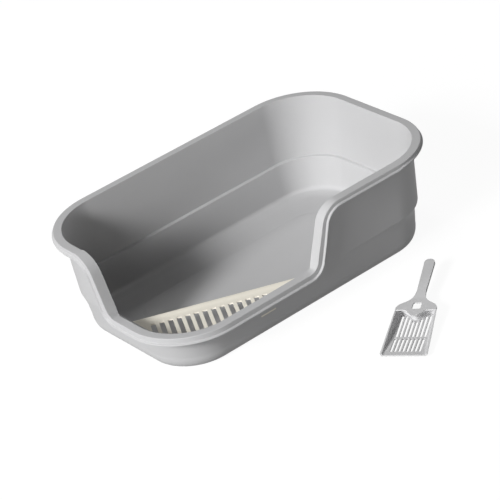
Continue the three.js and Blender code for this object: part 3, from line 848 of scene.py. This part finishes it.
def rearLine(offset):
    half, count = ladle["bulge"][1], ladle["bulgeSteps"]
    sides = [mix(-half, half, k / count) for k in range(count + 1)]
    return [(ladle["bowl"] - swellAt(y) + offset, y) for y in sides]


def smoothLine(points, parts):  # a curve through all the points
    ends = [points[0], *points, points[-1]]
    line = []
    for before, start, end, after in zip(ends, ends[1:], ends[2:], ends[3:]):
        for k in range(parts):
            t = k / parts
            line.append(tuple(
                b + t * ((c - a) / 2
                         + t * (a - 2.5 * b + 2 * c - d / 2
                                + t * (1.5 * b - 1.5 * c + (d - a) / 2)))
                for a, b, c, d in zip(before, start, end, after)))
    return line + [points[-1]]


def prism(name, outline, low, high, place=None):
    place = place or Matrix()
    bm = bmesh.new()
    face = bm.faces.new([bm.verts.new(place @ Vector((*spot, low))) for spot in outline])
    pushOut(bm, [face], place.to_3x3() @ Vector((0, 0, high - low)))
    return newPiece(name, bm)


def bowlBlock(name, rounding, inset=0, ahead=0, above=0):  # the outer form, or the hollow
    rise, bowl = ladle["lipRise"] + inset, ladle["bowl"] + ahead
    lean = (ladle["rearHalf"][1] - ladle["rearHalf"][0]) / ladle["rearHeight"]
    top = ladle["rearHeight"] + above
    lipTop = ladle["lipRise"] + ladle["floor"] + ladle["lipWall"] + above
    corners = [
        (-ahead, ladle["lipHalf"][0] - inset, rise + ahead * ladle["lipRise"] / ladle["bend"]),
        (-ahead, ladle["lipHalf"][1] - inset + above * lean / 3, lipTop),
        (ladle["bend"], ladle["bendHalf"] - inset, inset),
        (bowl, ladle["rearHalf"][0] - inset, inset),
        (bowl, ladle["rearHalf"][1] - inset + above * lean, top),
    ]
    bm = bmesh.new()
    for x, y, z in corners:
        bm.verts.new((x, y, z))
        bm.verts.new((x, -y, z))
    bmesh.ops.convex_hull(bm, input=bm.verts)
    bmesh.ops.dissolve_limit(bm, angle_limit=math.radians(ladle["flattest"]),
                             verts=bm.verts, edges=bm.edges)
    low = [edge for edge in bm.edges
           if max(vert.co.z for vert in edge.verts) < ladle["footEdgeTop"]
           and abs(edge.verts[0].co.x - edge.verts[1].co.x) > ladle["footEdgeLength"]]
    roundEdges(bm, low, rounding, tub["roundSteps"])
    bmesh.ops.recalc_face_normals(bm, faces=bm.faces)
    return newPiece(name, bm)


def makeScoop():
    bowl, bend, rise = ladle["bowl"], ladle["bend"], ladle["lipRise"]
    floor, wall, top = ladle["floor"], ladle["wall"], ladle["rearHeight"]
    rearHalf = ladle["rearHalf"][1]
    outside, inside = ladle["footRounds"]

    piece = bowlBlock("scoop_body", outside)
    hollow = bowlBlock("hollow", inside, wall, past, ladle["hollowTop"])
    side = rearHalf + past
    rear = prism("rear", [(bowl - wall, -side), *rearLine(-wall), (bowl - wall, side),
                          (bowl + 2 * past, side), (bowl + 2 * past, -side)],
                 -past, top + ladle["hollowTop"] + past)
    join(hollow, rear, "DIFFERENCE")
    join(piece, hollow, "DIFFERENCE")
    side = ladle["bulge"][1] + past
    behind = prism("behind", [(bowl + past, -side), *rearLine(0), (bowl + past, side)],
                   -past, top + past)
    join(piece, behind, "DIFFERENCE")

    edge = [(bowl + x, y) for x, y in smoothLine(ladle["outline"], ladle["outlineSteps"])]
    lead = -wall - ladle["overhang"]
    hood = prism("hood", [(bowl + lead, -rearHalf), *[(x, -y) for x, y in edge], *edge[::-1],
                          (bowl + lead, rearHalf), *rearLine(lead)[::-1]], top - ladle["hood"], top)
    join(piece, hood, "UNION")
    taper = (ladle["lipHalf"][1] - rearHalf) / bowl
    side = ladle["lipHalf"][1] + past * taper + ladle["cornerClear"]
    shoulder, half = ladle["outline"][ladle["shoulderPoint"]]
    sideLine = [(-past, side), (bowl, rearHalf), (bowl + shoulder, half), (ladle["length"], half)]
    rounded = prism("rounded", [*[(x, -y) for x, y in sideLine], *sideLine[::-1]],
                    -past, top + past)
    bm = bmesh.new()
    bm.from_mesh(rounded.data)
    rearCorners = [upright for upright in uprightEdges(bm)
                   if abs(upright.verts[0].co.x - bowl) < 1]
    roundEdges(bm, rearCorners, ladle["cornerRound"], ladle["cornerSteps"], True)
    bm.to_mesh(rounded.data)
    bm.free()
    join(piece, rounded, "INTERSECT")

    stem = edge[ladle["outlineSteps"] * ladle["neckPoint"]:]
    tip, parts = ladle["handleTip"], ladle["tipSteps"]
    end = ladle["length"] - tip
    turns = [math.radians(180 * k / parts - 90) for k in range(parts + 1)]
    arc = [(end + tip * math.cos(turn), tip * math.sin(turn)) for turn in turns]
    tilt = (Matrix.Translation((stem[0][0], 0, top))
            @ Matrix.Rotation(math.radians(-ladle["handleRise"]), 4, "Y")
            @ Matrix.Translation((-stem[0][0], 0, 0)))
    outline = [*[(x, -y) for x, y in stem], *arc, *stem[::-1]]
    join(piece, prism("handle", outline, -ladle["handle"], 0, tilt), "UNION")

    middle, length, width, corner = ladle["hanging"]
    bm = bmesh.new()
    addBlock(bm, (middle - length / 2, -width / 2, top - ladle["hangingDepth"]),
             (middle + length / 2, width / 2, top + past))
    roundEdges(bm, uprightEdges(bm), corner, ladle["hangingSteps"])
    join(piece, newPiece("hangingHole", bm), "DIFFERENCE")

    bm = bmesh.new()
    margin, half = ladle["slotMargin"], ladle["slotWidth"] / 2
    for k in range(ladle["slots"]):
        y = (k - (ladle["slots"] - 1) / 2) * ladle["slotPitch"]
        addBlock(bm, (bend + margin / 2, y - half, -past),
                 (bowl - wall - swellAt(y) - margin, y + half, floor + past))
        addBlock(bm, (ladle["lipMargin"], y - half, -past),
                 (bend - margin / 2, y + half, rise + floor + past))
    roundEdges(bm, uprightEdges(bm), half - ladle["slotFlat"], ladle["slotSteps"])
    join(piece, newPiece("scoopSlots", bm), "DIFFERENCE")

    x, y, heading = ladle["place"]
    softenEdges(piece)
    turn = Matrix.Rotation(math.radians(heading), 4, "Z")
    piece.data.transform(Matrix.Translation((x, y, 0)) @ turn)
    finish(piece, scoopPaintedLightPlastic, "scoop", "scoop_plastic", "scoop")
    return piece


litterScoop = makeScoop()
print("scoop shaped:", len(litterScoop.data.polygons), "faces")
